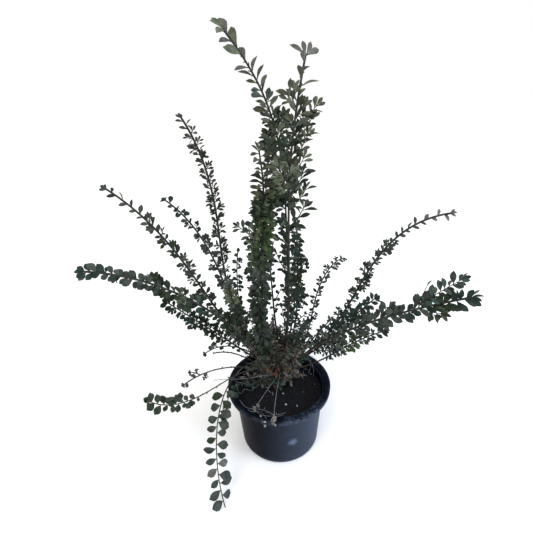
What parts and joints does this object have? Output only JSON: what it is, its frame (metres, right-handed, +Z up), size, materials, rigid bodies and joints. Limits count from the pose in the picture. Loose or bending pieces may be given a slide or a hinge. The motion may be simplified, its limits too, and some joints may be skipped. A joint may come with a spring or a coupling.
{
  "type": "potted cotoneaster shrub",
  "caption": "Young rockspray cotoneaster with a spray of upright, arching and trailing leafy shoots in a round black nursery pot.",
  "frame": {"origin": "middle of the pot's flat underside, where it stands on a surface", "axes": "+Z up along the pot's axis, -Y towards the viewer, +X to the viewer's right"},
  "size_m": [0.4209, 0.2518, 0.493],
  "materials": {
    "pot_plastic": "satin",
    "potting_soil": "matte",
    "bark": "matte",
    "foliage": "satin"
  },
  "bodies": {
    "root": {"pot": "pot_plastic", "soil": "potting_soil", "foot_stem": "bark", "bough_tallLeft": "bark", "bough_tallRight": "bark", "bough_frontColumn": "bark", "bough_rearRight": "bark", "bough_leftUpright": "bark", "bough_leftBack": "bark", "bough_leftLong": "bark", "bough_leftBough": "bark", "bough_leftLow": "bark", "bough_leftInner": "bark", "bough_innerUpright": "bark", "bough_rightSmall": "bark", "bough_rightLong": "bark", "bough_rightInner": "bark", "bough_rightBough": "bark", "bough_rightLow": "bark", "bough_twigUpper": "bark", "bough_twigForked": "bark", "bough_twigLeafy": "bark", "bough_hanging": "bark", "bough_frontLeft": "bark", "bough_frontMiddle": "bark", "bough_backLeft": "bark", "bough_backMiddle": "bark", "bough_backRight": "bark", "mass_tallLeft": "foliage", "mass_tallRight": "foliage", "mass_frontColumn": "foliage", "mass_rearRight": "foliage", "mass_leftUpright": "foliage", "mass_leftBack": "foliage", "mass_leftLong": "foliage", "mass_leftBough": "foliage", "mass_leftLow": "foliage", "mass_leftInner": "foliage", "mass_innerUpright": "foliage", "mass_rightSmall": "foliage", "mass_rightLong": "foliage", "mass_rightInner": "foliage", "mass_rightBough": "foliage", "mass_rightLow": "foliage", "mass_twigUpper": "foliage", "mass_twigForked": "foliage", "mass_twigLeafy": "foliage", "mass_hanging": "foliage", "mass_frontLeft": "foliage", "mass_frontMiddle": "foliage", "mass_backLeft": "foliage", "mass_backMiddle": "foliage", "mass_backRight": "foliage"}
  },
  "joints": []
}
